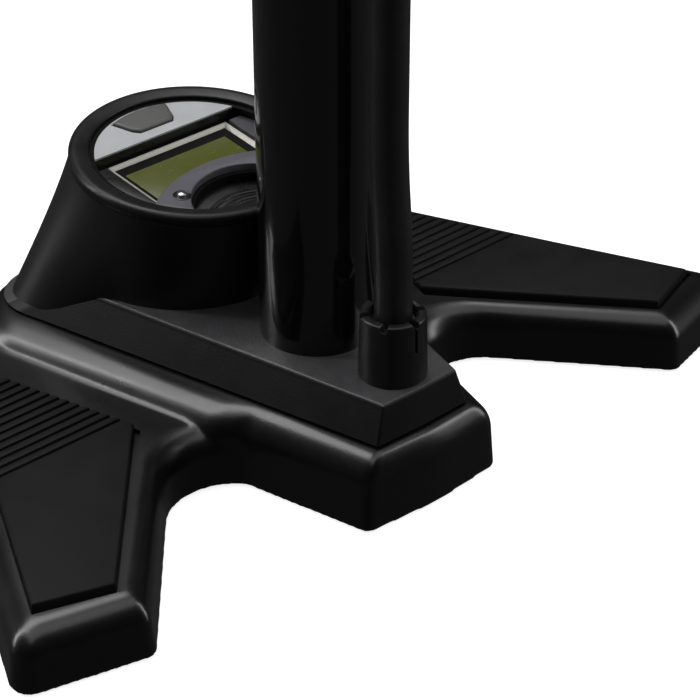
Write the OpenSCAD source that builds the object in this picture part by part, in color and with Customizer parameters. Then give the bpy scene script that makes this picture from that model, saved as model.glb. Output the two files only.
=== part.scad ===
// Floor bike pump with a digital gauge in its base.
// +Z is up. The origin is on the barrel's axis at floor level. The nose and the hose are towards -Y,
// the gauge is towards +Y and the two standing legs reach out along X.

/* [Base casting] */
// Thickness of the rubber feet
foot_h = 1.5; // [1:0.5:3]
// Height of the legs' flat top above the casting's underside
leg_h = 18.5; // [17:0.5:20]
// Height of the rim that carries the cover, above the casting's underside
rim_h = 25; // [24:0.5:27]
// Wall of the casting
cast_wall = 4; // [3:0.5:4.5]
// Width of the base over its legs
base_w = 312; // [300:2:320]

/* [Cover and gauge] */
// Height of the deck's top above the casting's underside
deck_h = 39; // [38:0.5:41]
// Height of the gauge's rim at its centre, above the casting's underside
rim_top_h = 81; // [79:0.5:84]
// Distance from the barrel's axis to the gauge's centre
gauge_y = 61.8; // [61:0.1:64]
// Outside radius of the gauge's rim
gauge_r = 42.8; // [42:0.1:43]
// Radius of the dial opening
dial_r = 35; // [34:0.1:36]
// Forward tilt of the gauge's face, in degrees
face_tilt = 4.9; // [3:0.1:6]
// Wall of the moulded covers
shell = 2.4; // [2:0.1:3]
// Travel of the mode button
button_travel = 1.2; // [0.6:0.1:1.5]

/* [Barrel and plunger] */
// Outside diameter of the barrel
barrel_d = 38; // [36:0.5:38]
// Wall of the barrel
barrel_wall = 1.6; // [1.2:0.1:2]
// Height of the barrel's top above the floor
barrel_top = 600; // [520:5:640]
// Diameter of the piston rod
rod_d = 14; // [12:0.5:16]

/* [Handle] */
// Width of the handle over its end caps
handle_w = 262; // [220:2:300]
// Height of the grip's section
grip_d = 31; // [28:0.5:34]

/* [Hose and chuck] */
// Outside diameter of the hose
hose_d = 12.2; // [11:0.1:12.4]
// Distance from the barrel's axis to the hose port
hose_y = 36.7; // [36:0.1:37.5]
// Radius of the hose's loop
loop_r = 36; // [34:1:40]
// Bore of the valve gasket
valve_d = 8; // [7.8:0.1:8.2]

/* [Hidden] */
$fn = 48;
slack = 0.05;               // radial clearance of a running fit
gap = 0.2;                  // gap between parts that are assembled face to face
cast_z = foot_h;
leg_z = cast_z + leg_h;
rim_z = cast_z + rim_h;
deck_z = cast_z + deck_h;
face_z = cast_z + rim_top_h;
bore_r = barrel_d / 2 - barrel_wall;
barrel_z0 = cast_z + 15;

// ---------- outlines: polygons with rounded corners, and lofts between two of them ----------

function unit(v) = v / norm(v);
function left_of(v) = [-v[1], v[0]];
function wrap(list, i) = list[(i + len(list)) % len(list)];

// Corner arc at vertex i of a counter-clockwise polygon, with n + 1 points. Works for inward corners too.
function corner_arc(pts, radii, i, n) =
    let (
        a = unit(pts[i] - wrap(pts, i - 1)),
        b = unit(wrap(pts, i + 1) - pts[i]),
        turn = atan2(a[0] * b[1] - a[1] * b[0], a * b),
        r = radii[i],
        start = pts[i] - a * r * tan(abs(turn) / 2),
        side = sign(turn),
        centre = start + left_of(a) * r * side,
        from = start - centre
    )
    [for (k = [0 : n])
        let (t = turn * k / n)
        centre + [from[0] * cos(t) - from[1] * sin(t), from[0] * sin(t) + from[1] * cos(t)]];

function rounded_outline(pts, radii, n = 6) =
    [for (i = [0 : len(pts) - 1]) each corner_arc(pts, radii, i, n)];

// Whole outline from its right half, listed from the front centre to the back centre.
function both_sides(half) = concat(half, [for (i = [len(half) - 2 : -1 : 1]) [-half[i][0], half[i][1]]]);
function both_radii(half) = concat(half, [for (i = [len(half) - 2 : -1 : 1]) half[i]]);

function mix_outlines(a, b, t) = [for (i = [0 : len(a) - 1]) a[i] * (1 - t) + b[i] * t];

// Solid through a stack of outlines, each with its own heights, all with the same number of points.
module loft(rings) {
    n = len(rings[0]);
    m = len(rings);
    sides = [for (j = [0 : m - 2], i = [0 : n - 1])
        each [[j * n + i, (j + 1) * n + i, j * n + (i + 1) % n],
              [j * n + (i + 1) % n, (j + 1) * n + i, (j + 1) * n + (i + 1) % n]]];
    polyhedron(
        points = [for (ring = rings) each ring],
        faces = concat([[for (i = [0 : n - 1]) i]], sides, [[for (i = [n - 1 : -1 : 0]) (m - 1) * n + i]]));
}

function at_height(outline, z) = [for (p = outline) [p[0], p[1], z]];

// Rings of a body whose wall rises to wall_z and then rounds over to top_z, from outline a in to outline b.
function shoulder(a, b, z0, wall_z, top_z, draft = 0.12, steps = 5) = concat(
    [at_height(a, z0)],
    [for (k = [0 : steps])
        let (
            t = 90 * k / steps,
            outline = mix_outlines(a, b, draft + (1 - draft) * (1 - cos(t)))
        )
        at_height(outline, wall_z + (top_z - wall_z) * sin(t))]);

// Footprint of the legs and the lobe under the gauge
foot_pts = both_sides([[0, -50.8], [27.2, -50.8], [47.9, 19.3], [115.6, -59.3], [159.3, -48],
                       [88, 110], [0, 133]]);
foot_radii = both_radii([100, 4, 21, 4, 7, 20, 60]);
// Edge of the flat tops of the legs
top_pts = both_sides([[0, -40], [19, -40], [45.5, 31], [117.2, -48], [145.8, -40.2],
                      [81.5, 101], [0, 123]]);
top_radii = both_radii([60, 1, 24, 1.2, 2, 12, 50]);
// The spine under the cover: at the floor and at its rim
spine_pts = both_sides([[0, -59], [28.7, -56.8], [41, -8.5], [50, 0.5], [77, 103], [0, 131]]);
spine_radii = both_radii([100, 4, 8, 12, 26, 60]);
rim_pts = both_sides([[0, -52.2], [19.9, -51.6], [31.2, -7.7], [33.3, 0.5], [61, 108], [0, 123]]);
rim_radii = both_radii([100, 1, 2000, 2000, 18, 50]);
// The deck at its seam with the casting, and its top edge
seam_pts = both_sides([[0, -52.2], [19.9, -51.6], [61, 108], [0, 123]]);
seam_radii = both_radii([100, 1, 18, 50]);
deck_pts = both_sides([[0, -50.5], [16.4, -50.1], [49.9, 90], [0, 104]]);
deck_radii = both_radii([100, 0.6, 16, 45]);
// The rubber tread on the right leg
tread_pts = [[64.5, 17.5], [119.3, -45], [143, -37], [93.1, 70], [80.5, 70]];

function moved_in(pts, d) =
    [for (i = [0 : len(pts) - 1])
        let (
            a = left_of(unit(pts[i] - wrap(pts, i - 1))),
            b = left_of(unit(wrap(pts, i + 1) - pts[i]))
        )
        pts[i] + (a + b) * d / (1 + a * b)];

module prism(pts, z0, z1) translate([0, 0, z0]) linear_extrude(z1 - z0) polygon(pts);
module tube(r_out, r_in, z0, z1) translate([0, 0, z0]) difference() {
    cylinder(r = r_out, h = z1 - z0);
    translate([0, 0, -1]) cylinder(r = r_in, h = z1 - z0 + 2);
}
module rod(r, z0, z1) translate([0, 0, z0]) cylinder(r = r, h = z1 - z0);
module both() {
    children();
    mirror([1, 0, 0]) children();
}

// ---------- base ----------

rear_screw = [38, 84];
front_screw = [15, -27];
screw_spots = [for (p = [rear_screw, front_screw], side = [1, -1]) [p[0] * side, p[1]]];
feet_spots = [[126, -42], [-126, -42], [82, 88], [-82, 88]];
nose_foot = [0, -47];

// Pocket under one leg, cut into bays by two cross ribs.
module leg_pockets() {
    both() difference() {
        prism([[69, 26], [111, -25], [135, -20], [96, 74], [74, 74]], cast_z - 1, leg_z - cast_wall);
        for (y = [4, 40]) translate([100, y, 0]) cube([120, 3, 60], center = true);
    }
}

module casting_skin() {
    loft(shoulder(rounded_outline(foot_pts, foot_radii), rounded_outline(top_pts, top_radii),
                  cast_z, cast_z + 10, leg_z));
    loft(shoulder(rounded_outline(spine_pts, spine_radii), rounded_outline(rim_pts, rim_radii),
                  cast_z, cast_z + 13, rim_z));
}
module base_casting() color("#151516") difference() {
    resize([base_w, 0, 0]) casting_skin();
    leg_pockets();
    // seats for the treads
    both() prism(moved_in(tread_pts, -2.3), leg_z - 1.5, leg_z + 5);
    // room for the manifold, the hose port and the gauge's inside
    translate([0, 0, cast_z + 5]) cylinder(r = 25, h = 40);
    translate([-9.2, -46, cast_z + 5]) cube([18.4, 40, 40]);
    difference() {
        prism([[-13, 15], [13, 15], [40, 60], [46, 96], [20, 108], [-20, 108], [-46, 96], [-40, 60]],
              cast_z + 5, cast_z + 40);
        both() translate([rear_screw[0], rear_screw[1], 0]) cylinder(r = 5, h = 60);
    }
    // clearance holes for the cover's screws
    for (p = screw_spots) translate([p[0], p[1], cast_z - 1]) {
        cylinder(r = 1.8, h = 40);
        cylinder(r = 3.6, h = 3.5);
    }
    // sockets for the feet
    for (p = feet_spots) translate([p[0], p[1], cast_z - 1]) cylinder(r = 7.2, h = 2.5);
    translate([nose_foot[0], nose_foot[1], cast_z - 1]) cylinder(r = 5.2, h = 2.5);
    translate([0, 0, cast_z - 1]) cylinder(r = 14.2, h = 2.5);
}

module rubber_feet() color("#1c1c1d") {
    for (p = feet_spots) translate([p[0], p[1], 0]) cylinder(r = 7, h = foot_h + 1.5);
    translate([nose_foot[0], nose_foot[1], 0]) cylinder(r = 5, h = foot_h + 1.5);
    rod(14, 0, foot_h + 1.5);
}

// Ribbed rubber tread with sloping sides. The ribs run along X behind the tread's front inner corner.
rib_pitch = 3.9;
rib_first = 21;
tread_top = cast_z + 20.7;
tread_skirt = 2;
module tread() color("#232324") difference() {
    loft([at_height(moved_in(tread_pts, -tread_skirt), leg_z - 1.4),
          at_height(moved_in(tread_pts, -tread_skirt), leg_z + 0.4),
          at_height(tread_pts, tread_top)]);
    for (k = [0 : 11]) translate([50, rib_first + k * rib_pitch, cast_z + 19.9]) cube([70, 1.5, 5]);
}

module cover_screws() color("#8a8c90") for (p = screw_spots) translate([p[0], p[1], cast_z]) difference() {
    union() {
        translate([0, 0, 0.5]) cylinder(r = 3.2, h = 1.9);
        translate([0, 0, 2]) cylinder(r = 1.5, h = rim_h + 1);
    }
    cylinder(r = 1.4, h = 1.6, $fn = 6);
}

// Valve block under the barrel, with the check valve's pocket and ports to the hose and the gauge.
block_r = 24;
block_top = cast_z + 34;
block_z0 = cast_z + 5;
gallery_z = cast_z + 10;
module manifold_block() color("#a9abae") difference() {
    union() {
        rod(block_r, block_z0, block_top);
        translate([-9, -hose_y - 9, block_z0]) cube([18, hose_y, 17]);
        translate([-7, 10, block_z0]) cube([14, 22, 11]);
    }
    // socket of the barrel
    rod(barrel_d / 2 + slack, barrel_z0, block_top + 1);
    // pocket of the check valve
    rod(6.5 + gap / 2, gallery_z - 1, barrel_z0 + 1);
    // socket of the hose fitting
    translate([0, -hose_y, gallery_z - 1]) cylinder(r = 5.1, h = 30);
    translate([0, 0, gallery_z]) rotate([90, 0, 0]) cylinder(r = 1.6, h = hose_y);
    translate([0, 33, gallery_z]) rotate([90, 0, 0]) cylinder(r = 1.6, h = 33);
    translate([0, 33, gallery_z]) rotate([90, 0, 0]) cylinder(r = 2.4, h = 7);
}

// ---------- cover and gauge ----------

// The housing's side runs from the round rim down to a foot that is round in front and squared at the back.
house_y0 = 71.4;
function step01(a, b, x) = let (t = min(1, max(0, (x - a) / (b - a)))) t * t * (3 - 2 * t);
function squared(angle, a, b, n) =
    pow(pow(abs(cos(angle)) / a, n) + pow(abs(sin(angle)) / b, n), -1 / n);
function house_foot_r(angle) =
    let (back = step01(-0.2, 0.5, sin(angle)))
    44.5 * (1 - back) + squared(angle, 57, 48, 3) * back;
function house_ring(t, inset, n) = [for (k = [0 : n - 1])
    let (
        angle = 360 * k / n,
        r = gauge_r + (house_foot_r(angle) - gauge_r) * pow(t, 1.15) - inset,
        cy = gauge_y + (house_y0 - gauge_y) * t,
        y = cy + r * sin(angle),
        top = face_z - 4 + (y - gauge_y) * tan(face_tilt)
    )
    [r * cos(angle), y, top + (rim_z + 0.05 - top) * t]];
module house_solid(inset, n = 60, levels = 7)
    loft([for (j = [levels : -1 : 0]) house_ring(j / levels, inset, n)]);

// Places its children on the gauge's tilted face, with z = 0 at the rim's height.
module on_face() translate([0, gauge_y, face_z]) rotate([face_tilt, 0, 0]) children();

module gauge_housing() color("#19191a") difference() {
    house_solid(0);
    difference() {
        intersection() {
            house_solid(shell);
            prism([[-70, 0], [70, 0], [70, 140], [-70, 140]], rim_z - 1, face_z - 12);
        }
        both() {
            translate([rear_screw[0], rear_screw[1], 0]) cylinder(r = 4.5, h = rim_z + 12);
            translate([rear_screw[0] + 2, rear_screw[1] - 1.2, 0]) cube([30, 2.4, rim_z + 12]);
        }
    }
    on_face() translate([0, 0, -30]) cylinder(r = dial_r + 1.8, h = 40);
    both() translate([rear_screw[0], rear_screw[1], rim_z - 2]) cylinder(r = 1.6, h = 13);
}

// Rounded ring that closes the housing and frames the dial.
module gauge_bezel() color("#1b1b1c") on_face() rotate_extrude($fn = 72) polygon(concat(
    [[dial_r, -11], [dial_r + 1.6, -11], [dial_r + 1.6, -3.9], [gauge_r, -3.9]],
    [for (k = [0 : 4]) let (t = k * 22.5) [gauge_r - 2 + 2 * cos(t), -2 + 2 * sin(t)]],
    [for (k = [0 : 4]) let (t = 90 + k * 22.5) [dial_r + 1 + cos(t), -1.6 + sin(t)]]));

// Moulded floor of the dial, with raised side cheeks.
panel_y = 16.5;          // front edge of the bright panel
lcd_w = 51.2;
lcd_y0 = -9;
lcd_y1 = 15;
module dial_disc(r, z0, z1) translate([0, 0, z0]) cylinder(r = r, h = z1 - z0, $fn = 72);
module dial_plate() color("#2a2a2d") on_face() difference() {
    dial_disc(dial_r - 0.1, -10.9, -7);
    translate([-lcd_w / 2 - 0.2, lcd_y0 - 3, -9.5]) cube([lcd_w + 0.4, lcd_y1 - lcd_y0 + 3.2, 10]);
    both() translate([19, -16.6, -12]) cylinder(r = 1.3, h = 20);
    translate([-9, 18.5, -12]) cube([18, 12.5, 20]);
}

module dial_sector(y0, r) intersection() {
    dial_disc(r, -20, 20);
    translate([-60, y0, -20]) cube([120, 60, 40]);
}

// Outline of the mode button: narrow in front, wider towards the rim.
button_pts = [[-6.8, 21.3], [6.8, 21.3], [8.6, 23.3], [11.4, 30.9], [6, 32.4], [0, 33],
              [-6, 32.4], [-11.4, 30.9], [-8.6, 23.3]];
module dial_panel() color("#b9babd") on_face() difference() {
    intersection() {
        dial_sector(panel_y, dial_r - 0.3);
        dial_disc(60, -6.9, -2);
    }
    translate([0, 0, -8]) linear_extrude(20) polygon(moved_in(button_pts, -0.35));
}

// The button's stem stops its travel, and a little more, above the board's switch.
switch_z = -11.5;
module mode_button() color("#6f7072") on_face() {
    translate([0, 0, -5.6]) linear_extrude(4.6) polygon(button_pts);
    translate([0, 25.5, switch_z + 0.1 + button_travel]) cylinder(r = 2, h = 6.2 - button_travel);
}

module lcd_bezel() color("#c9c7bf") on_face() difference() {
    translate([-lcd_w / 2, lcd_y0 - 2.6, -9.4]) cube([lcd_w, lcd_y1 - lcd_y0 + 2.6, 3.4]);
    translate([-lcd_w / 2 + 1.8, lcd_y0 - 0.8, -8]) cube([lcd_w - 3.6, lcd_y1 - lcd_y0 - 1, 5]);
    translate([-lcd_w / 2 + 1, lcd_y0 - 1.6, -9.6]) cube([lcd_w - 2, lcd_y1 - lcd_y0 + 0.6, 1.7]);
}

module lcd_panel() color("#565b1f") on_face()
    translate([-lcd_w / 2 + 1.1, lcd_y0 - 1.5, -9.4]) cube([lcd_w - 2.2, lcd_y1 - lcd_y0 + 0.4, 1.3]);

// Crescent bridge across the front of the display, standing on its two screws.
arch_top_r = 47.5;
arch_low_r = 23;
module dial_arch() color("#6b6a73") on_face() difference() {
    intersection() {
        dial_disc(dial_r - 0.3, -5.9, -3.4);
        translate([0, -4.9 - arch_top_r, -8]) cylinder(r = arch_top_r, h = 10, $fn = 96);
    }
    translate([0, -12 - arch_low_r, -8]) cylinder(r = arch_low_r, h = 10, $fn = 96);
    both() translate([19, -16.6, -8]) {
        cylinder(r = 1.3, h = 10);
        translate([0, 0, 3.2]) cylinder(r = 2.5, h = 5);
    }
}

module dial_screws() color("#c3c4c2") on_face() both() translate([19, -16.6, 0]) difference() {
    union() {
        translate([0, 0, -4.7]) cylinder(r = 2.1, h = 0.9);
        translate([0, 0, -12]) cylinder(r = 1.1, h = 7.5);
    }
    translate([-1.4, -0.25, -4.2]) cube([2.8, 0.5, 1]);
    translate([-0.25, -1.4, -4.2]) cube([0.5, 2.8, 1]);
}

module circuit_board() color("#1f5a34") on_face() {
    difference() {
        dial_disc(dial_r - 2, -13.6, -12.1);
        translate([0, -30, -15]) cylinder(r = 4, h = 5);
    }
    translate([-3, 22.5, -12.2]) cube([6, 6, switch_z + 12.2]);
    translate([-7, -6, -12.2]) cube([14, 10, 1.2]);
}
module coin_cell() color("#b4b6b8") on_face() translate([0, 8, -17]) cylinder(r = 10, h = 3.2);
sensor_y = 47.4;
module pressure_sensor() color("#3b3d40") {
    on_face() translate([-6, -21, -18.5]) cube([12, 12, 4.7]);
    translate([0, sensor_y, face_z - 30]) cylinder(r = 1.15, h = 14);
}
// Soft line from the valve block's rear port up to the sensor.
module sensor_tube() color("#b7b09a") {
    difference() {
        union() {
            translate([0, sensor_y, gallery_z]) rotate([90, 0, 0]) cylinder(r = 2.3, h = sensor_y - 26.5);
            translate([0, sensor_y, gallery_z]) sphere(r = 2.3);
            translate([0, sensor_y, gallery_z]) cylinder(r = 2.3, h = face_z - 21 - gallery_z);
        }
        translate([0, sensor_y, gallery_z]) rotate([90, 0, 0]) cylinder(r = 1.2, h = sensor_y - 25);
        translate([0, sensor_y, gallery_z]) cylinder(r = 1.2, h = face_z - 20 - gallery_z);
    }
}

// Raised deck between the housing and the nose.
module deck_solid(inset, z_top) loft([
    at_height(rounded_outline(moved_in(seam_pts, inset), seam_radii), rim_z),
    at_height(rounded_outline(moved_in(deck_pts, inset), deck_radii), z_top)]);
module deck_cover() color("#222223") difference() {
    deck_solid(0.4, deck_z);
    difference() {
        translate([0, 0, -0.02]) deck_solid(0.4 + shell, deck_z - shell);
        both() translate([front_screw[0], front_screw[1], 0]) cylinder(r = 3.2, h = 60);
    }
    house_solid(-0.15);
    prism([[-70, 84], [70, 84], [70, 140], [-70, 140]], rim_z - 1, deck_z + 1);
    rod(barrel_d / 2 + 0.3, 0, 80);
    translate([0, -hose_y, 0]) cylinder(r = 9.4, h = 80);
    both() translate([front_screw[0], front_screw[1], rim_z - 1]) cylinder(r = 1.6, h = 11);
}

// ---------- barrel and check valve ----------

module barrel() color("#101011") tube(barrel_d / 2, bore_r, barrel_z0 + gap, barrel_top);
module barrel_seal() color("#2b2b2b") translate([0, 0, barrel_z0 + 3]) rotate_extrude()
    translate([bore_r - 1.1, 0]) circle(r = 1, $fn = 20);

seat_z = cast_z + 17;
ball_r = 3.5;
port_r = 2.2;
ball_z = seat_z - sqrt(ball_r * ball_r - port_r * port_r) - 0.05;
module check_seat() color("#b08d4a") difference() {
    union() {
        rod(6.5, gallery_z + 2, seat_z);
        rod(bore_r - 0.2, barrel_z0 + gap, seat_z + 4);
    }
    rod(ball_r + 0.4, gallery_z, seat_z);
    rod(port_r, seat_z - 1, seat_z + 6);
    tube(bore_r + 1, bore_r - 2.2, barrel_z0 + 1.9, barrel_z0 + 4.1);
}
module check_ball() color("#c8cacd") translate([0, 0, ball_z]) sphere(r = ball_r);

// Light closing spring under the ball: one wire swept along a helix.
spring_wire = 0.35;
spring_r = 2.5;
spring_z0 = gallery_z - 0.6;
spring_rise = ball_z - sqrt(ball_r * ball_r - spring_r * spring_r) - spring_wire - spring_z0 - 0.1;
module check_spring() color("#9a9ca0") loft([for (k = [0 : 48])
    let (angle = 360 * 3 * k / 48, z = spring_z0 + spring_rise * k / 48)
    [for (s = [0 : 9])
        let (r = spring_r + spring_wire * cos(36 * s))
        [r * cos(angle), r * sin(angle), z - spring_wire * sin(36 * s)]]]);

module barrel_cap() color("#141415") difference() {
    union() {
        rod(22.5, barrel_top - 24, barrel_top + 3);
        translate([0, 0, barrel_top + 3]) cylinder(r1 = 22.5, r2 = 15, h = 9);
        for (k = [0 : 11]) rotate(30 * k) translate([22.3, 0, barrel_top - 20]) cylinder(r = 1.2, h = 20);
    }
    rod(barrel_d / 2 + slack, barrel_top - 25, barrel_top + slack);
    rod(rod_d / 2 + 2.5, barrel_top - 30, barrel_top + 9.5);
    rod(rod_d / 2 + 0.4, barrel_top - 30, barrel_top + 20);
}
module rod_bush() color("#d8d5c8") difference() {
    union() {
        rod(bore_r - 0.1, barrel_top - 14, barrel_top);
        rod(rod_d / 2 + 2.4, barrel_top - 1, barrel_top + 6);
    }
    rod(rod_d / 2 + slack, barrel_top - 20, barrel_top + 20);
}
module rod_wiper() color("#2b2b2b")
    tube(rod_d / 2 + 2.4, rod_d / 2 + slack, barrel_top + 6.2, barrel_top + 9.2);

// ---------- plunger ----------

piston_z = seat_z + 6;
piston_h = 16;
rod_top = barrel_top + 40;
module piston_rod() color("#c9ccd0") tube(rod_d / 2, rod_d / 2 - 1.3, piston_z + piston_h - 6, rod_top);
module piston_head() color("#3a3a3c") difference() {
    union() {
        rod(bore_r - 0.15, piston_z, piston_z + 4);
        rod(bore_r - 3.5, piston_z, piston_z + piston_h - 3);
        rod(bore_r - 0.15, piston_z + 8, piston_z + 12);
        rod(rod_d / 2 + 3, piston_z + 12, piston_z + piston_h);
    }
    rod(rod_d / 2 + 0.02, piston_z + piston_h - 6, piston_z + piston_h + 1);
    rod(2.6, piston_z - 1, piston_z + piston_h);
    rod(5, piston_z - 1, piston_z + 3);
}
module piston_seal() color("#3c2a20") tube(bore_r - 0.02, bore_r - 3.4, piston_z + 4.2, piston_z + 7.8);
module piston_bolt() color("#9b9da0") difference() {
    union() {
        rod(4.6, piston_z + 0.4, piston_z + 2.9);
        rod(2.5, piston_z + 2, piston_z + piston_h + 6);
    }
    translate([0, 0, piston_z]) cylinder(r = 2.2, h = 1.8, $fn = 6);
}
module topout_bumper() color("#2f2f30")
    tube(rod_d / 2 + 4, rod_d / 2 + 0.05, piston_z + piston_h + 0.2, piston_z + piston_h + 12);

handle_z = barrel_top + 46;
module handle_bumper() color("#2b2b2c") difference() {
    union() {
        rod(13, barrel_top + 13, barrel_top + 19);
        rod(11, barrel_top + 18, barrel_top + 25);
    }
    rod(rod_d / 2 + 0.05, barrel_top, barrel_top + 40);
}

core_r = grip_d / 2 - 4;
grip_x0 = 34;
module along_x(r, x0, x1) translate([x0, 0, handle_z]) rotate([0, 90, 0]) cylinder(r = r, h = x1 - x0);
module handle_core() color("#161617") difference() {
    union() {
        along_x(core_r, -handle_w / 2 + 4, handle_w / 2 - 4);
        hull() {
            along_x(grip_d / 2, -26, 26);
            translate([0, 0, barrel_top + 25.5]) cylinder(r = 15, h = 1);
        }
        both() translate([26, 0, handle_z]) rotate([0, 90, 0])
            cylinder(r1 = grip_d / 2, r2 = grip_d / 2 + 1.2, h = grip_x0 - 26 - 0.2);
    }
    rod(rod_d / 2 + 0.02, barrel_top + 20, rod_top + 0.1);
    rod(3.1, rod_top, handle_z + 40);
    rod(7.2, handle_z + 8, handle_z + 40);
}
module grip() color("#1f1f20") difference() {
    union() {
        along_x(grip_d / 2, grip_x0, handle_w / 2 - 8);
        for (k = [0 : 7]) along_x(grip_d / 2 + 0.9, grip_x0 + 6 + 11 * k, grip_x0 + 12 + 11 * k);
    }
    along_x(core_r + 0.02, grip_x0 - 1, handle_w / 2);
}
module grip_caps() color("#121213") both() difference() {
    union() {
        along_x(grip_d / 2 + 1, handle_w / 2 - 7.8, handle_w / 2 - 3);
        along_x(grip_d / 2 - 2, handle_w / 2 - 3.1, handle_w / 2);
    }
    along_x(core_r + 0.02, handle_w / 2 - 9, handle_w / 2 - 4 + 0.02);
}
module handle_screw() color("#9b9da0") difference() {
    union() {
        rod(5.6, handle_z + 8.1, handle_z + 12);
        rod(3, rod_top - 12, handle_z + 9);
    }
    translate([0, 0, handle_z + 9.5]) cylinder(r = 2.9, h = 4, $fn = 6);
}
module handle_plug() color("#202021") rod(7.1, handle_z + 12.4, handle_z + grip_d / 2 + 0.6);

// ---------- hose ----------

hose_r = hose_d / 2;
hose_bore = 3;
hose_z0 = cast_z + 30;
collar_z1 = cast_z + 61.5;
lean_z0 = cast_z + 68;
lean_z1 = cast_z + 130;
upper_y = hose_y - 3;
loop_z = 480;
loop_angle = asin(upper_y / (2 * loop_r));
chuck_x = 2 * loop_r * cos(loop_angle);
chuck_z = 330;
lean = atan2(hose_y - upper_y, lean_z1 - lean_z0);
elbow = 0.2;                // how far the elbows stand out of the hose
module along_hose(r, extra) {
    translate([0, -hose_y, hose_z0 - extra]) cylinder(r = r, h = lean_z0 - hose_z0 + extra);
    translate([0, -hose_y, lean_z0]) sphere(r = r + elbow);
    translate([0, -hose_y, lean_z0]) rotate([-lean, 0, 0])
        cylinder(r = r, h = (lean_z1 - lean_z0) / cos(lean));
    translate([0, -upper_y, lean_z1]) sphere(r = r + elbow);
    translate([0, -upper_y, lean_z1]) cylinder(r = r, h = loop_z - 1 - lean_z1);
    translate([0, -upper_y, loop_z]) sphere(r = r + elbow);
    translate([chuck_x, 0, loop_z]) sphere(r = r + elbow);
    translate([0, -upper_y, loop_z]) rotate(loop_angle) translate([loop_r, 0, 0]) rotate([90, 0, 0])
        rotate_extrude(angle = 180) translate([loop_r, 0]) circle(r = r);
    translate([chuck_x, 0, chuck_z + 10.2 - extra]) cylinder(r = r, h = loop_z - 1 - chuck_z - 10.2 + extra);
}
module hose() color("#161617") difference() {
    along_hose(hose_r, 0);
    along_hose(hose_bore, 1);
}

// Nut with a castellated rim that holds the hose in the deck.
module hose_collar() color("#1a1a1b") translate([0, -hose_y, 0]) difference() {
    union() {
        rod(9.1, cast_z + 28, deck_z + 1);
        translate([0, 0, deck_z + 0.1]) cylinder(r1 = 11.2, r2 = 10.7, h = collar_z1 - deck_z - 0.1);
    }
    rod(hose_r + 0.1, 0, collar_z1 + 1);
    rod(hose_r + 1, collar_z1 - 3, collar_z1 + 1);
    for (k = [0 : 5]) rotate(60 * k - 90) translate([hose_r + 0.6, -1.1, collar_z1 - 2.2]) cube([10, 2.2, 5]);
    rotate(-90) translate([9.6, -0.4, collar_z1 - 11]) cube([5, 0.8, 12]);
}
module hose_fitting() color("#b08d4a") translate([0, -hose_y, 0]) difference() {
    union() {
        rod(5, gallery_z - 0.8, cast_z + 24);
        rod(7, cast_z + 22.2, cast_z + 27);
        rod(hose_bore - 0.02, cast_z + 26, cast_z + 50);
    }
    rod(1.6, gallery_z + 2, cast_z + 60);
    rod(3, gallery_z - 2, gallery_z + 3);
    translate([0, 8, gallery_z]) rotate([90, 0, 0]) cylinder(r = 1.6, h = 8);
    tube(6, 3.6, gallery_z + 4.1, gallery_z + 5.9);
}
module hose_seal() color("#2b2b2b") translate([0, -hose_y, gallery_z + 5]) rotate_extrude()
    translate([4.4, 0]) circle(r = 0.65, $fn = 20);

// Clip that snaps round the barrel and the hose.
clip_z = 440;
module hose_clip() color("#1a1a1b") difference() {
    union() {
        rod(barrel_d / 2 + 2.6, clip_z, clip_z + 14);
        translate([0, -upper_y, 0]) rod(hose_r + 2.4, clip_z, clip_z + 14);
        translate([-4, -upper_y, clip_z]) cube([8, upper_y - 15, 14]);
    }
    rod(barrel_d / 2 + 0.03, clip_z - 1, clip_z + 15);
    translate([0, -upper_y, 0]) rod(hose_r + 0.03, clip_z - 1, clip_z + 15);
    translate([-3.5, -upper_y - 20, clip_z - 1]) cube([7, 18, 16]);
    translate([-6, barrel_d / 2 - 4, clip_z - 1]) cube([12, 10, 16]);
}

// ---------- chuck, with +X away from the barrel and z = 0 at its middle ----------

chuck_r = 9;
pin_x = 14.5;
pin_z = 3;
cam_r = 4.6;
cam_offset = 1.4;
module at_chuck() translate([chuck_x, 0, chuck_z]) children();
module across(r, w) rotate([90, 0, 0]) cylinder(r = r, h = w, center = true);

module chuck_body() color("#1d1d1e") at_chuck() difference() {
    union() {
        rod(chuck_r, -14, 10);
        rod(hose_bore - 0.02, 9, 27);
        for (side = [-1, 1]) translate([pin_x, side * 4.6, pin_z]) across(3.6, 2.8);
        for (side = [-1, 1]) translate([6, side * 4.6 - 1.4, pin_z - 3.6]) cube([pin_x - 6, 2.8, 7.2]);
    }
    rod(7.1, -15, -3.5);
    rod(5.1, -4, 4);
    rod(1.5, 3, 30);
    translate([3, -2.3, -6]) cube([10, 4.6, 6.5]);
    translate([pin_x, 0, pin_z]) across(1.5, 14);
}
module chuck_cap() color("#a9abae") at_chuck() difference() {
    union() {
        rod(chuck_r + 1.6, -17, -8);
        for (k = [0 : 15]) rotate(22.5 * k) translate([chuck_r + 1.4, 0, -16]) cylinder(r = 0.8, h = 7);
    }
    rod(chuck_r + 0.05, -14.1, -7);
    rod(valve_d / 2 + 0.6, -18, -10);
}
module chuck_gasket() color("#2b2b2b") at_chuck() tube(7, valve_d / 2, -14, -9.6);
module chuck_plunger() color("#d8d5c8") at_chuck() difference() {
    union() {
        rod(6.9, -8, -5.6);
        rod(4.95, -6, 1.4);
        translate([0, -2, -2.75]) cube([pin_x + 2, 4, 2.45]);
    }
    rod(2.6, -9, 3);
}
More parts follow.
